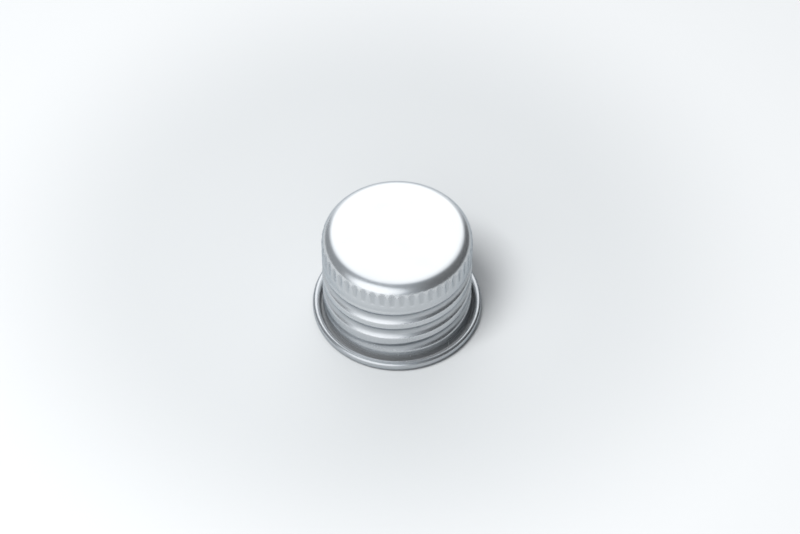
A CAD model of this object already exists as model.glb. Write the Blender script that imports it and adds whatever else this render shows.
# %% [markdown]
# # An aluminium screw cap
# A screw cap is pressed from one disc of thin aluminium. A press draws it into a cup, a
# knurling tool flutes its grip band, a roller forms the thread from outside, and the raw
# edge is curled outwards and in again, so that it can't cut a finger. A disc of foamed
# plastic is pushed up inside, and seals against the neck of the bottle.
#
# This lesson bends the sheet from its section with Geometry Nodes, finishes the metal and
# the foam with procedural materials, and lights the cap softly on a pale table. The CAD
# model is loaded first. It fixes the size and the place of everything.

from math import cos, pi, radians, sin, sqrt, tan

import bpy
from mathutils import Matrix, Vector


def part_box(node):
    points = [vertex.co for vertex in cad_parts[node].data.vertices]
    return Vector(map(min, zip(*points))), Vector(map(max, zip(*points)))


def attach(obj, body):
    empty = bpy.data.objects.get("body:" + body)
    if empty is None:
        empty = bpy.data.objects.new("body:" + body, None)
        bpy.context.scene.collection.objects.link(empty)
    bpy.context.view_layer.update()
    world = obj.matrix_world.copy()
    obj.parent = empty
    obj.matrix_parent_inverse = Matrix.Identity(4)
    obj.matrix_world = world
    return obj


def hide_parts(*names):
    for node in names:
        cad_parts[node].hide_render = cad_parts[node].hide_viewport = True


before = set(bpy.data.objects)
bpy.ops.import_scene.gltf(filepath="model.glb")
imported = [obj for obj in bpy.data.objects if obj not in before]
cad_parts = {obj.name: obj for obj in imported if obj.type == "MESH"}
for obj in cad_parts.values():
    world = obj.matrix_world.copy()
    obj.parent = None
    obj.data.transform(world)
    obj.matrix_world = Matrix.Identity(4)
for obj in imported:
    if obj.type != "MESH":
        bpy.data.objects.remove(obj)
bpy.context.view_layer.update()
MM = 0.001

# %% [markdown]
# The driving sizes are those that the press tools would have. Where the frame can tell
# them, they are read from it: the height and the rim from the shell's box, and the sheet's
# thickness from how far the liner's upper face lies below the top. The rest repeat the CAD
# model's own sizes. Blender works in metres, so each millimetre value is multiplied by MM.

# %% Sizes
_, shell_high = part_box("cap_shell")
liner_low, liner_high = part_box("sealing_liner")
CAP_HEIGHT = shell_high[2]
RIM_RADIUS = shell_high[0]
SHEET = CAP_HEIGHT - liner_high[2]

BODY_RADIUS = 14.2 * MM
SHOULDER = 2.6 * MM
RIM_HEIGHT = 2.1 * MM
CURL_WIDTH = 1.35 * MM
LIP_LENGTH = 0.25 * MM

FLUTES = 48
FLUTE_WIDTH = 1.1 * MM
FLUTE_DEPTH = 0.14 * MM
FLUTE_LEAN = radians(2.0)
FLUTE_LENGTH = 2.35 * MM
FLUTE_FOOT_Z = CAP_HEIGHT - SHOULDER - FLUTE_LENGTH

PITCH = 4.233 * MM
GROOVE_DEPTH = 0.65 * MM
GROOVE_WIDTH = 2.7 * MM
GROOVE_START_Z = 4.2 * MM
GROOVE_START = radians(-140)
GROOVE_TOP_GAP = 1.6 * MM
GROOVE_TURNS = (FLUTE_FOOT_Z - GROOVE_TOP_GAP - GROOVE_START_Z) / PITCH
GROOVE_FADE = 95 / 360

# %% [markdown]
# A tool presses its own roundness into the sheet. The thread's roller and the knurl are
# discs whose radius follows from the width and the depth of the mark that they leave. Thin
# metal never folds sharply over a tool's edge, so each mark also gets a softness: the size
# of the round where it runs out into the plain wall.

# %% The tools' radii
ROLLER = (GROOVE_WIDTH**2 / 4 + GROOVE_DEPTH**2) / (2 * GROOVE_DEPTH)
KNURL = (FLUTE_WIDTH**2 / 4 + FLUTE_DEPTH**2) / (2 * FLUTE_DEPTH)
KNURL_Z = FLUTE_FOOT_Z + sqrt(KNURL**2 - (KNURL - FLUTE_DEPTH) ** 2)
GROOVE_SOFTNESS = 0.45 * MM
BELOW_FLUTES = 0.3 * MM
FLUTE_SOFTNESS = 0.03 * MM
print("sheet, mm:", round(SHEET / MM, 3))
print("roller and knurl radius, mm:", round(ROLLER / MM, 3), round(KNURL / MM, 3))
print("turns of thread:", round(GROOVE_TURNS, 2))

# %% [markdown]
# The section of the sheet is a chain of straight runs and arcs. It is drawn once along the
# outside, from the axis to the lip, and once back along the inside. Both faces come from
# the same function, so the sheet has the same thickness everywhere. Each run has as many
# points as its shape needs: a flat needs few, and a wall that will be rolled needs many.

# %% The section of the sheet


def run(start, end, steps):
    """Points along a straight run, without its last one."""
    shares = [step / steps for step in range(steps)]
    return [tuple(a + (b - a) * share for a, b in zip(start, end)) for share in shares]


def arc(centre, radius, first, last, steps):
    """Points along an arc, without its last one. Angles are in degrees."""
    turns = [radians(first + (last - first) * step / steps) for step in range(steps)]
    return [(centre[0] + radius * cos(turn), centre[1] + radius * sin(turn)) for turn in turns]


def sheet_face(out, fineness):
    """One face of the sheet as (radius, height) points, out from the sheet's middle."""
    corner = (BODY_RADIUS - SHOULDER, CAP_HEIGHT - SHOULDER)
    wall = BODY_RADIUS - SHEET / 2 + out
    rim = RIM_RADIUS - SHEET / 2 - out
    bend = (RIM_RADIUS - BODY_RADIUS) / 2
    bend_centre = (BODY_RADIUS - SHEET / 2 + bend, bend + SHEET / 2)
    curl = (CURL_WIDTH - SHEET) / 2
    curl_centre = (RIM_RADIUS - SHEET / 2 - curl, RIM_HEIGHT - SHEET / 2 - curl)
    lip = curl_centre[0] - curl + out
    top = CAP_HEIGHT - SHEET / 2 + out
    skirt = GROOVE_START_Z - GROOVE_WIDTH / 2 - GROOVE_SOFTNESS
    flute = FLUTE_FOOT_Z - BELOW_FLUTES
    points = run((0, top), (corner[0], top), 6)
    points += arc(corner, SHOULDER - SHEET / 2 + out, 90, 0, round(22 * fineness))
    points += run((wall, corner[1]), (wall, flute), round(24 * fineness))
    points += run((wall, flute), (wall, skirt), round(84 * fineness))
    points += run((wall, skirt), (wall, bend_centre[1]), 4)
    points += arc(bend_centre, bend - out, 180, 360, 12)
    points += run((rim, bend_centre[1]), (rim, curl_centre[1]), 2)
    points += arc(curl_centre, curl - out, 0, 180, 12)
    points += run((lip, curl_centre[1]), (lip, curl_centre[1] - LIP_LENGTH), 1)
    return points + [(lip, curl_centre[1] - LIP_LENGTH)]


outside = sheet_face(SHEET / 2, 1.0)
inside = sheet_face(-SHEET / 2, 0.55)
section = outside + inside[::-1]
inner_start = len(outside)
section_mesh = bpy.data.meshes.new("section")
section_mesh.from_pydata([(r, 0, z) for r, z in section], [], [])
section_object = bpy.data.objects.new("section", section_mesh)
bpy.context.collection.objects.link(section_object)
print("points in the section:", len(section), "of them outside:", inner_start)

# %% [markdown]
# Geometry Nodes are wired by hand in the editor, but a script can do it too. These helpers
# keep it readable: `add` makes a node and plugs values or sockets into it, and `Sum` wraps
# a socket so that ordinary arithmetic writes Math nodes. The shape's formulas below can then
# be read as formulas.

# %% Helpers for node formulas


def add(tree, kind, *plugs, **settings):
    """Make a node, set it up, and plug values or other nodes' sockets into its inputs."""
    node = tree.nodes.new(kind)
    for name, value in settings.items():
        setattr(node, name, value)
    for socket, value in zip([s for s in node.inputs if s.enabled], plugs):
        plug(tree, socket, value)
    return node


def plug(tree, socket, value):
    """Connect a node's input to another socket, or set its value."""
    if isinstance(value, Sum):
        value = value.socket
    if isinstance(value, bpy.types.NodeSocket):
        tree.links.new(value, socket)
    elif value is not None:
        socket.default_value = value


class Sum:
    """A number in a node tree. Arithmetic on it adds Math nodes."""

    def __init__(self, tree, socket):
        self.tree, self.socket = tree, socket

    def math(self, operation, *others):
        node = add(self.tree, "ShaderNodeMath", self.socket, *others, operation=operation)
        return Sum(self.tree, node.outputs[0])

    def __add__(self, other):
        return self.math("ADD", other)

    def __sub__(self, other):
        return self.math("SUBTRACT", other)

    def __rsub__(self, other):
        return (self * -1.0) + other

    def __mul__(self, other):
        return self.math("MULTIPLY", other)

    def __truediv__(self, other):
        return self.math("DIVIDE", other)

    def clamp(self, low, high):
        return self.math("MAXIMUM", low).math("MINIMUM", high)


# %% [markdown]
# The shell follows rules all the way, so it is one Geometry Nodes tree. Modelling it by
# hand with a Screw and 48 cutters would also work, but then no size could change later.
# The tree's inputs are the sizes from above, each under the name that it has in the
# modifier's panel.

# %% The shell's tree: inputs
COLUMNS_PER_FLUTE = 12
shell_inputs = {
    "Section": ("NodeSocketObject", section_object),
    "Material": ("NodeSocketMaterial", None),
    "Section points": ("NodeSocketInt", len(section)),
    "Outside points": ("NodeSocketInt", inner_start),
    "Columns": ("NodeSocketInt", FLUTES * COLUMNS_PER_FLUTE),
    "Body radius": ("NodeSocketFloat", BODY_RADIUS),
    "Sheet": ("NodeSocketFloat", SHEET),
    "Lowest pressed z": ("NodeSocketFloat", RIM_HEIGHT + 0.2 * MM),
    "Shoulder foot z": ("NodeSocketFloat", CAP_HEIGHT - SHOULDER),
    "Flutes": ("NodeSocketFloat", float(FLUTES)),
    "Knurl radius": ("NodeSocketFloat", KNURL),
    "Knurl z": ("NodeSocketFloat", KNURL_Z),
    "Flute depth": ("NodeSocketFloat", FLUTE_DEPTH),
    "Flute slope": ("NodeSocketFloat", tan(FLUTE_LEAN)),
    "Flute softness": ("NodeSocketFloat", FLUTE_SOFTNESS),
    "Pitch": ("NodeSocketFloat", PITCH),
    "Roller radius": ("NodeSocketFloat", ROLLER),
    "Groove depth": ("NodeSocketFloat", GROOVE_DEPTH),
    "Groove start z": ("NodeSocketFloat", GROOVE_START_Z),
    "Groove start angle": ("NodeSocketFloat", GROOVE_START),
    "Groove turns": ("NodeSocketFloat", GROOVE_TURNS),
    "Groove fade": ("NodeSocketFloat", GROOVE_FADE),
    "Groove softness": ("NodeSocketFloat", GROOVE_SOFTNESS),
    "Fine columns above": ("NodeSocketFloat", FLUTE_FOOT_Z - 0.2 * MM),
    "Fine columns outside": ("NodeSocketFloat", BODY_RADIUS - SHOULDER + 0.5 * MM),
}


# %% Helpers that make a tree and run it
def new_tree(name, inputs):
    """A Geometry Nodes tree with named inputs. Returns it and {name: socket}."""
    tree = bpy.data.node_groups.new(name, "GeometryNodeTree")
    for title, (kind, _) in inputs.items():
        tree.interface.new_socket(title, in_out="INPUT", socket_type=kind)
    tree.interface.new_socket("Geometry", in_out="OUTPUT", socket_type="NodeSocketGeometry")
    group = tree.nodes.new("NodeGroupInput")
    sockets = {title: group.outputs[title] for title in inputs}
    return tree, {
        title: Sum(tree, socket) if inputs[title][0] == "NodeSocketFloat" else socket
        for title, socket in sockets.items()
    }


def run_tree(name, tree, inputs):
    """Run a tree on an empty mesh and keep the result as a plain object at the origin."""
    maker = bpy.data.objects.new(name + "_maker", bpy.data.meshes.new(name + "_maker"))
    bpy.context.collection.objects.link(maker)
    modifier = maker.modifiers.new("Geometry Nodes", "NODES")
    modifier.node_group = tree
    sockets = [item for item in tree.interface.items_tree if item.in_out == "INPUT"]
    for item in sockets:
        modifier[item.identifier] = inputs[item.name][1]
    evaluated = maker.evaluated_get(bpy.context.evaluated_depsgraph_get())
    mesh = bpy.data.meshes.new_from_object(evaluated)
    piece = bpy.data.objects.new(name, mesh)
    bpy.context.collection.objects.link(piece)
    maker.modifiers.remove(modifier)
    bpy.data.objects.remove(maker)
    return piece


shell_tree, given = new_tree("drawn_cap", shell_inputs)

# %% [markdown]
# A grid has one column for each step round the axis and one row for each point of the
# section. The index of a grid point tells both, and Sample Index looks up where the
# section's point lies. Twelve columns for each flute are only needed round the flutes.
# Elsewhere each odd column takes its neighbour's angle, so that the pair can be welded.

# %% The shell's tree: from grid to cup
grid = add(shell_tree, "GeometryNodeMeshGrid")
plug(shell_tree, grid.inputs["Size X"], 1.0)
plug(shell_tree, grid.inputs["Size Y"], 1.0)
columns = Sum(shell_tree, given["Columns"])
rows = Sum(shell_tree, given["Section points"])
plug(shell_tree, grid.inputs["Vertices X"], columns + 1.0)
plug(shell_tree, grid.inputs["Vertices Y"], rows)

index = Sum(shell_tree, add(shell_tree, "GeometryNodeInputIndex").outputs[0])
column = (index / rows).math("FLOOR")
row = index - column * rows
is_odd = column.math("MODULO", 2.0)

section_info = add(shell_tree, "GeometryNodeObjectInfo", transform_space="ORIGINAL")
plug(shell_tree, section_info.inputs["Object"], given["Section"])
place = add(shell_tree, "GeometryNodeInputPosition")
sample = add(shell_tree, "GeometryNodeSampleIndex", data_type="FLOAT_VECTOR")
plug(shell_tree, sample.inputs["Geometry"], section_info.outputs["Geometry"])
plug(shell_tree, sample.inputs["Value"], place.outputs[0])
plug(shell_tree, sample.inputs["Index"], row)
split = add(shell_tree, "ShaderNodeSeparateXYZ", sample.outputs[0])
radius = Sum(shell_tree, split.outputs["X"])
height = Sum(shell_tree, split.outputs["Z"])

by_flutes = height.math("GREATER_THAN", given["Fine columns above"])
near_wall = radius.math("GREATER_THAN", given["Fine columns outside"])
is_coarse = 1.0 - by_flutes * near_wall
angle = (column - is_odd * is_coarse) / columns * (2 * pi)

# %% [markdown]
# Now the tools press. A round tool stands at a known place beside the wall, and the wall
# ends up at the smaller of its own radius and the tool's face. Smooth Minimum rounds the
# run-out. The inner face of the sheet is pressed by the same tool made larger by the
# sheet's thickness, and so the groove outside becomes the ridge inside that grips the neck.
#
# The knurl stands upright and leans in by two degrees, so each flute is deepest where it
# meets the shoulder and ends below in a round foot. The roller climbs one pitch for each
# turn, and eases in and out at the ends of its run.

# %% The shell's tree: what the tools press in
is_inside = row.math("GREATER_THAN", Sum(shell_tree, given["Outside points"]) - 0.5)
backing = is_inside * given["Sheet"]

knurl = given["Knurl radius"] + backing
share = (angle * given["Flutes"] / (2 * pi)).math("FRACT") - 0.5
across = share * (2 * pi) / given["Flutes"] * given["Body radius"]
above_nose = (height - given["Knurl z"]).math("MAXIMUM", 0.0)
below_nose = (given["Knurl z"] - height).math("MAXIMUM", 0.0)
knurl_centre = given["Body radius"] - given["Flute depth"] + given["Knurl radius"]
knurl_centre = knurl_centre - above_nose * given["Flute slope"]
knurl_chord = knurl * knurl - across * across - below_nose * below_nose
knurl_face = knurl_centre - knurl_chord.math("MAXIMUM", 0.0).math("SQRT")

roller = given["Roller radius"] + backing
turned = ((angle - given["Groove start angle"]) / (2 * pi)).math("FRACT")
wraps = ((height - given["Groove start z"]) / given["Pitch"] - turned).math("ROUND")
along = (turned + wraps).clamp(0.0, given["Groove turns"])
from_end = along.math("MINIMUM", given["Groove turns"] - along)
ease = (from_end / given["Groove fade"]).math("MINIMUM", 1.0)
pressed = (1.0 - (ease * pi).math("COSINE")) * given["Groove depth"] * 0.5
roller_centre = given["Body radius"] + given["Roller radius"] - pressed
off_centre = height - given["Groove start z"] - along * given["Pitch"]
roller_chord = roller * roller - off_centre * off_centre
roller_face = roller_centre - roller_chord.math("MAXIMUM", 0.0).math("SQRT")

fluted = radius.math("SMOOTH_MIN", knurl_face, given["Flute softness"])
formed = fluted.math("SMOOTH_MIN", roller_face, given["Groove softness"])
is_wall = height.math("GREATER_THAN", given["Lowest pressed z"])
final_radius = radius + (formed - radius) * is_wall

# %% [markdown]
# Pressed metal looks a little different: lacquer gathers along the scalloped upper end of
# each flute, and the roller dulls its groove. Three attributes from 0 to 1 tell the material
# where: how near a point of the shoulder lies to a flute's outline, and how deep it was
# knurled or rolled. They are stored on the grid, because the formulas need its order of
# points. The grid's faces come out pointing into the sheet, and nothing here turns them:
# a Flip Faces node before the weld would. Then the points move, Merge by Distance welds the
# paired columns, the seam and both poles, and the tree ends in Realize Instances and Set
# Material.

# %% The shell's tree: output
off_outline = (radius - knurl_face).math("ABSOLUTE") / given["Flute depth"] * 2.0
up_shoulder = (height - given["Shoulder foot z"]) / given["Flute depth"] * 0.4
outline_share = (1.0 - off_outline).clamp(0.0, 1.0) * up_shoulder.clamp(0.0, 1.0)
flute_share = ((radius - fluted) / given["Flute depth"]).clamp(0.0, 1.0) * is_wall
groove_share = ((fluted - formed) * is_wall / given["Groove depth"]).clamp(0.0, 1.0)
marked = grid.outputs["Mesh"]
marks = {"flute_outline": outline_share, "fluted": flute_share, "rolled": groove_share}
for name, share_marked in marks.items():
    store = add(shell_tree, "GeometryNodeStoreNamedAttribute", data_type="FLOAT")
    plug(shell_tree, store.inputs["Geometry"], marked)
    plug(shell_tree, store.inputs["Name"], name)
    plug(shell_tree, store.inputs["Value"], share_marked)
    marked = store.outputs["Geometry"]

spot = add(
    shell_tree,
    "ShaderNodeCombineXYZ",
    final_radius * angle.math("COSINE"),
    final_radius * angle.math("SINE"),
    height,
)
bent = add(shell_tree, "GeometryNodeSetPosition")
plug(shell_tree, bent.inputs["Geometry"], marked)
plug(shell_tree, bent.inputs["Position"], spot.outputs[0])
welded = add(shell_tree, "GeometryNodeMergeByDistance")
plug(shell_tree, welded.inputs["Geometry"], bent.outputs[0])
plug(shell_tree, welded.inputs["Distance"], 0.001 * MM)
smooth = add(shell_tree, "GeometryNodeSetShadeSmooth")
plug(shell_tree, smooth.inputs["Geometry"], welded.outputs[0])
real = add(shell_tree, "GeometryNodeRealizeInstances")
plug(shell_tree, real.inputs["Geometry"], smooth.outputs[0])
coated = add(shell_tree, "GeometryNodeSetMaterial")
plug(shell_tree, coated.inputs["Geometry"], real.outputs[0])
plug(shell_tree, coated.inputs["Material"], given["Material"])
result = shell_tree.nodes.new("NodeGroupOutput")
plug(shell_tree, result.inputs[0], coated.outputs[0])
print("nodes in the shell's tree:", len(shell_tree.nodes))

# %% [markdown]
# Drawn aluminium is bright but not a mirror. Its rolled sheet has a fine straight grain,
# which stays straight on the flat top and is stretched upright on the walls when the cup
# is drawn. The roller leaves faint rings in its groove. All three are the same trick: noise
# that a Mapping node squeezes across the grain and pulls out along it.
#
# The shader is almost fully metallic. A little of the diffuse layer stays in, because a
# clear lacquer scatters some light, and that keeps the narrow gap at the rim from going
# black. Coat is the lacquer's own shine. Numbers that are the same all over are set on the
# shader itself.

# %% Helpers for finishes
def finish(name, base, roughness, metallic):
    """A material with its shader, and its tree to add nodes to."""
    material = bpy.data.materials.new(name)
    material.use_nodes = True
    shader = material.node_tree.nodes["Principled BSDF"]
    shader.inputs["Base Color"].default_value = (*base, 1)
    shader.inputs["Roughness"].default_value = roughness
    shader.inputs["Metallic"].default_value = metallic
    return material, shader, material.node_tree


def noise(tree, place, scale, detail):
    """Noise from 0 to 1 in Object coordinates. scale is how many features fit in a metre."""
    pulled = add(tree, "ShaderNodeMapping", place)
    pulled.inputs["Scale"].default_value = scale
    texture = add(tree, "ShaderNodeTexNoise", pulled.outputs[0])
    texture.inputs["Scale"].default_value = 1.0
    texture.inputs["Detail"].default_value = detail
    return Sum(tree, texture.outputs["Fac"])


def blend_colours(tree, share, first, second):
    """The first colour where share is 0 and the second where it is 1."""
    mix = add(tree, "ShaderNodeMix", data_type="RGBA")
    sockets = [socket for socket in mix.inputs if socket.enabled]
    plug(tree, sockets[0], share)
    plug(tree, sockets[1], (*first, 1))
    plug(tree, sockets[2], (*second, 1))
    return [socket for socket in mix.outputs if socket.enabled][0]


def press_bump(tree, shader, height, distance):
    """Let a height from 0 to 1 raise the surface by up to this distance."""
    bump = add(tree, "ShaderNodeBump")
    bump.inputs["Distance"].default_value = distance
    plug(tree, bump.inputs["Height"], height)
    tree.links.new(bump.outputs[0], shader.inputs["Normal"])


# %% Bright aluminium
METAL_SHARE = 0.88
METAL_ROUGHNESS = 0.25
CLEAN_METAL = (0.60, 0.62, 0.635)
DULL_METAL = (0.33, 0.35, 0.37)
aluminium, metal_shader, metal = finish(
    "bright_aluminium", CLEAN_METAL, METAL_ROUGHNESS, METAL_SHARE
)
metal_shader.inputs["Specular Tint"].default_value = (0.56, 0.61, 0.65, 1)
metal_shader.inputs["Coat Weight"].default_value = 0.1
metal_shader.inputs["Coat Roughness"].default_value = 0.12

metal_place = add(metal, "ShaderNodeTexCoord")
here = metal_place.outputs["Object"]
facing_split = add(metal, "ShaderNodeSeparateXYZ", metal_place.outputs["Normal"])
flatness = add(metal, "ShaderNodeMapRange", facing_split.outputs["Z"], 0.90, 0.99)
is_top = Sum(metal, flatness.outputs[0])
here_split = add(metal, "ShaderNodeSeparateXYZ", here)
lowness = add(metal, "ShaderNodeMapRange", here_split.outputs["Z"], 9 * MM, 3 * MM)
is_low = Sum(metal, lowness.outputs[0])
from_axis = add(metal, "ShaderNodeVectorMath", here, (1, 1, 0), operation="MULTIPLY")
axis_distance = add(metal, "ShaderNodeVectorMath", from_axis.outputs[0], operation="LENGTH")
within = add(metal, "ShaderNodeMapRange", axis_distance.outputs["Value"], 15.8 * MM, 15.2 * MM)
sunk = add(metal, "ShaderNodeMapRange", here_split.outputs["Z"], 3.4 * MM, 1.4 * MM)
in_trough = Sum(metal, within.outputs[0]) * Sum(metal, sunk.outputs[0])

top_grain = noise(metal, here, (140, 7000, 140), 3.0)
drawn_grain = noise(metal, here, (2600, 2600, 60), 2.0)
ring_grain = noise(metal, here, (60, 60, 6500), 2.0)
on_outline, in_flute, in_groove = [
    Sum(metal, add(metal, "ShaderNodeAttribute", attribute_name=name).outputs["Fac"])
    for name in marks
]
wall_grain = drawn_grain + (ring_grain - drawn_grain) * (in_groove * 0.8)
grain = wall_grain + (top_grain - wall_grain) * is_top

# %% [markdown]
# Three scales of change make the metal believable. The grain is the finest. Blotches a few
# millimetres wide change how dull it is, as handling and wiping do. A slow waviness in the
# bump, a few thousandths of a millimetre high, bends the reflections as a drawn wall does.
# The flutes and the groove are duller where the lacquer has gathered, and so are the skirt
# and the rim, which the press stretches most. Lacquer also pools in the rim's trough, and
# scatters light there instead of mirroring it.

# %% Colour, roughness and bump of the metal
blotches = noise(metal, here, (230, 230, 230), 4.0)
waviness = noise(metal, here, (160, 160, 120), 1.0)
pressed_share = on_outline * 0.5 + in_flute * 0.35 + in_groove * 0.48
worked = pressed_share + is_low * 0.45 - in_trough * 0.3
dullness = worked + (blotches - 0.5) * 0.2 + (grain - 0.5) * 0.16
metal_colour = blend_colours(metal, dullness.clamp(0.0, 1.0), CLEAN_METAL, DULL_METAL)
metal.links.new(metal_colour, metal_shader.inputs["Base Color"])
uneven = (grain - 0.5) * 0.07 + (blotches - 0.5) * 0.08
metal_roughness = uneven + on_outline * 0.06 + in_groove * 0.09 + METAL_ROUGHNESS
plug(metal, metal_shader.inputs["Roughness"], metal_roughness.clamp(0.08, 0.5))
plug(metal, metal_shader.inputs["Metallic"], METAL_SHARE - in_trough * 0.25)
press_bump(metal, metal_shader, grain * 0.012 + waviness * 0.9, 0.006 * MM)
print("nodes in the metal:", len(metal.nodes))

# %% [markdown]
# The tree runs on an empty mesh. `new_from_object` turns the result into a plain mesh, and
# the modifier goes before the piece is handed to the frame. The piece then stands for the
# CAD shell: same place, same size, with the soft edges that a STEP file leaves out.

# %% Make the shell
shell_inputs["Material"] = ("NodeSocketMaterial", aluminium)
shell = run_tree("drawn_shell", shell_tree, shell_inputs)
bpy.data.objects.remove(section_object)
shell.data.calc_loop_triangles()
print("shell triangles:", len(shell.data.loop_triangles))
print("shell size, mm:", [round(value / MM, 2) for value in shell.dimensions])
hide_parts("cap_shell")
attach(shell, "root")

# %% [markdown]
# The liner is punched from foamed plastic sheet. It is dull and milky, with closed cells a
# quarter of a millimetre across that show as a faint leathery dimpling. The CAD solid has
# the right shape, so it stays, and only its material slot is filled. A Voronoi texture
# gives the cells, and its distance to the nearest cell centre is the dimple's depth.

# %% Foamed plastic
FOAM = (0.86, 0.87, 0.86)
FOAM_SHADE = (0.74, 0.76, 0.75)
foam, foam_shader, foam_tree = finish("liner_foam", FOAM, 0.62, 0.0)
foam_shader.inputs["Specular IOR Level"].default_value = 0.35
foam_here = add(foam_tree, "ShaderNodeTexCoord").outputs["Object"]
cells = add(foam_tree, "ShaderNodeTexVoronoi", foam_here)
cells.inputs["Scale"].default_value = 4000
cell_edge = Sum(foam_tree, cells.outputs["Distance"])
cloudy = noise(foam_tree, foam_here, (500, 500, 500), 3.0)
foam_share = (cell_edge * 0.45 + (cloudy - 0.5) * 0.5).clamp(0.0, 1.0)
foam_colour = blend_colours(foam_tree, foam_share, FOAM, FOAM_SHADE)
foam_tree.links.new(foam_colour, foam_shader.inputs["Base Color"])
plug(foam_tree, foam_shader.inputs["Roughness"], cloudy * 0.16 + 0.54)
press_bump(foam_tree, foam_shader, 1.0 - cell_edge * 0.8 + cloudy * 0.3, 0.03 * MM)
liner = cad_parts["sealing_liner"]
liner.material_slots[0].material = foam
print("liner, mm:", [round((high - low) / MM, 2) for low, high in zip(liner_low, liner_high)])

# %% [markdown]
# The table is a large pale sheet of satin plastic. Light falls off towards the cap and
# grows towards the edges, so its colour is mixed by the distance from a point just behind
# the cap. A barely visible grain keeps it from looking computed. It is declared as the
# stage, so it is no part of the object.

# %% Table
TABLE_HALF = 3.0
TABLE_NEAR = (0.41, 0.421, 0.427)
TABLE_FAR = (0.488, 0.496, 0.5)
corners = [(-1, -1), (1, -1), (1, 1), (-1, 1)]
table_mesh = bpy.data.meshes.new("table")
table_mesh.from_pydata([(x * TABLE_HALF, y * TABLE_HALF, 0) for x, y in corners], [], [(0, 1, 2, 3)])
table = bpy.data.objects.new("table", table_mesh)
bpy.context.collection.objects.link(table)
pale, pale_shader, pale_tree = finish("pale_table", TABLE_NEAR, 0.5, 0.0)
pale_shader.inputs["Specular IOR Level"].default_value = 0.3
table_here = add(pale_tree, "ShaderNodeTexCoord").outputs["Object"]
pool_centre = (-5 * MM, 12 * MM, 0)
pool = add(pale_tree, "ShaderNodeVectorMath", table_here, pool_centre, operation="DISTANCE")
away = add(pale_tree, "ShaderNodeMapRange", pool.outputs["Value"], 42 * MM, 88 * MM)
away.interpolation_type = "SMOOTHSTEP"
table_grain = noise(pale_tree, table_here, (1100, 1100, 1), 5.0)
table_share = Sum(pale_tree, away.outputs[0]) + (table_grain - 0.5) * 0.09
table_colour = blend_colours(pale_tree, table_share.clamp(0.0, 1.0), TABLE_NEAR, TABLE_FAR)
pale_tree.links.new(table_colour, pale_shader.inputs["Base Color"])
plug(pale_tree, pale_shader.inputs["Roughness"], table_grain * 0.1 + 0.45)
press_bump(pale_tree, pale_shader, table_grain, 0.01 * MM)
table_mesh.materials.append(pale)

# %% [markdown]
# The camera looks down by 50.5 degrees from a long way off. A long lens hardly shrinks what
# is further away, so the rim and the top are nearly true ellipses. The Standard view
# transform keeps white paper white; the default one would grey it.

# %% Camera
VIEW_DISTANCE = 40 * BODY_RADIUS
VIEW_ELEVATION = radians(50.5)
VIEW_WIDTH = 10.688 * BODY_RADIUS
AIM_HEIGHT = 0.7 * BODY_RADIUS
SENSOR = 36
camera_data = bpy.data.cameras.new("camera")
camera = bpy.data.objects.new("camera", camera_data)
bpy.context.collection.objects.link(camera)
camera.location = (
    0,
    -VIEW_DISTANCE * cos(VIEW_ELEVATION),
    VIEW_DISTANCE * sin(VIEW_ELEVATION) + AIM_HEIGHT,
)
camera.rotation_euler = (pi / 2 - VIEW_ELEVATION, 0, 0)
camera_data.sensor_width = SENSOR
camera_data.lens = SENSOR * VIEW_DISTANCE / VIEW_WIDTH
camera_data.shift_x = 0.0036
camera_data.shift_y = 0.0068
camera_data.clip_start = 0.01
bpy.context.scene.camera = camera
bpy.context.scene.view_settings.view_transform = "Standard"
print("lens, mm:", round(camera_data.lens, 1))

# %% [markdown]
# Bright metal shows the room more than it shows itself, so the room is lit first. The
# world's brightness depends on direction only. It is a mid grey with a white ceiling and a
# white wall behind, which fill the flat top and the far shoulder; a window low down at the
# front left, which draws the bright line along the shoulder and the rim; and two darker
# sides, which shade the shoulder and the grooves there. A glow is 1 near its direction, and
# falls smoothly to 0. Every view of the cap sees the same room.

# %% The room
world = bpy.data.worlds.new("room")
bpy.context.scene.world = world
world.use_nodes = True
room = world.node_tree
look = add(room, "ShaderNodeTexCoord").outputs["Generated"]


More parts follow.
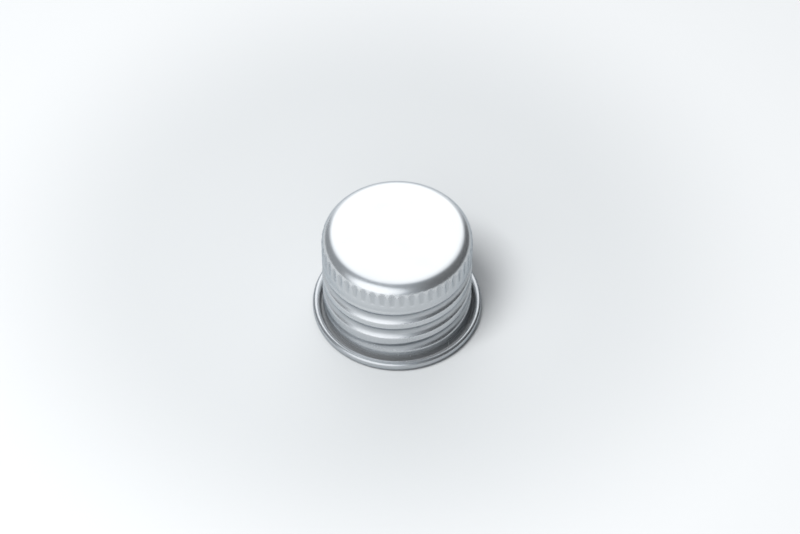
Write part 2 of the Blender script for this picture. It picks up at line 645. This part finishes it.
def toward(azimuth, elevation):
    """A direction as a vector. Azimuth is in degrees about +Z from +X."""
    flat = cos(radians(elevation))
    around = radians(azimuth)
    return (flat * cos(around), flat * sin(around), sin(radians(elevation)))


def glow(azimuth, elevation, near, far):
    """1 within near degrees of a direction, 0 beyond far degrees, and smooth between."""
    facing = add(room, "ShaderNodeVectorMath", look, toward(azimuth, elevation))
    facing.operation = "DOT_PRODUCT"
    fall = add(room, "ShaderNodeMapRange", facing.outputs["Value"])
    fall.interpolation_type = "SMOOTHSTEP"
    fall.inputs["From Min"].default_value = cos(radians(far))
    fall.inputs["From Max"].default_value = cos(radians(near))
    return Sum(room, fall.outputs[0])


ROOM_STRENGTH = 0.39
DARKEST = 0.04
BRIGHTEST = 1.8
ROOM_GREY = (0.86, 0.95, 1.04)
ROOM_WHITE = (0.98, 0.985, 1.0)
ceiling = glow(90, 54, 20, 43)
back_wall = glow(90, 15, 20, 42)
window = glow(240, 26, 24, 44)
dark_right = glow(4, 12, 38, 84)
dark_left = glow(165, 15, 18, 56)
bright = (ceiling + back_wall + window).clamp(0.0, 1.0)
strength = ceiling * 1.18 + back_wall * 0.9 + window * 1.3 + ROOM_STRENGTH
strength = strength - dark_right * 0.36 - dark_left * 0.2
background = room.nodes["Background"]
plug(room, background.inputs["Strength"], strength.clamp(DARKEST, BRIGHTEST))
room.links.new(blend_colours(room, bright, ROOM_GREY, ROOM_WHITE), background.inputs["Color"])

# %% [markdown]
# One softbox gives the cap its shadow. It hangs high at the front left, so the soft shadow
# falls to the right and back. The metal doesn't mirror it, because
# a lamp's square outline on the shoulder would say more about the lamp than about the cap.

# %% Softbox
BOX_SIDE = 0.36
BOX_ENERGY = 11.0
BOX_DISTANCE = 0.9
box_data = bpy.data.lights.new("left_softbox", "AREA")
box_data.size = BOX_SIDE
box_data.energy = BOX_ENERGY
box = bpy.data.objects.new("left_softbox", box_data)
box_direction = Vector(toward(221, 67))
box.location = box_direction * BOX_DISTANCE
box.rotation_euler = box_direction.to_track_quat("Z", "Y").to_euler()
box.visible_glossy = False
bpy.context.collection.objects.link(box)
